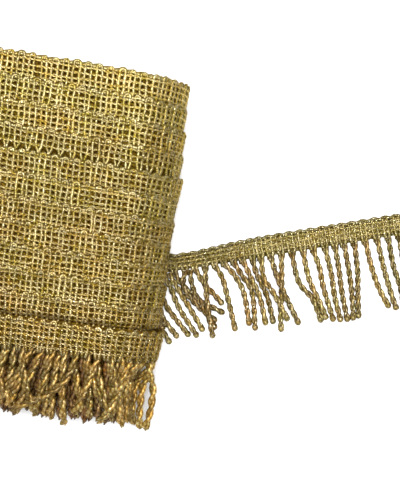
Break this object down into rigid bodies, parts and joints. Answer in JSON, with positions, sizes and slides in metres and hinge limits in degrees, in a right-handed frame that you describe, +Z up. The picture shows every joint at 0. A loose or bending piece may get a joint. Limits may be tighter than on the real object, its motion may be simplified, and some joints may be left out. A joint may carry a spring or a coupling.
{
  "type": "cord fringe trim",
  "caption": "Looped-cord fringe trim wound into a flat bundle with shingled rows, lying on its back, with one loose end on the table.",
  "frame": {"origin": "middle of the flat face under the wound bundle, on the table", "axes": "+X across the bundle towards the loose end, +Y along the winding axis away from the bundle's fringed end, +Z up"},
  "size_m": [0.2945, 0.1694, 0.0453],
  "materials": {
    "wound_yarn": "crocheted gold viscose and metallic yarn, satin sheen",
    "header_yarn": "light gold metallic yarn in joined loops, satin sheen",
    "cord_yarn": "two-ply twisted bronze-gold cord, silky"
  },
  "bodies": {
    "root": {"wound_bundle": "wound_yarn", "end_fringe_outer": "cord_yarn", "end_fringe_inner": "cord_yarn", "tail_header": "header_yarn", "tail_fringe": "cord_yarn"}
  },
  "joints": []
}
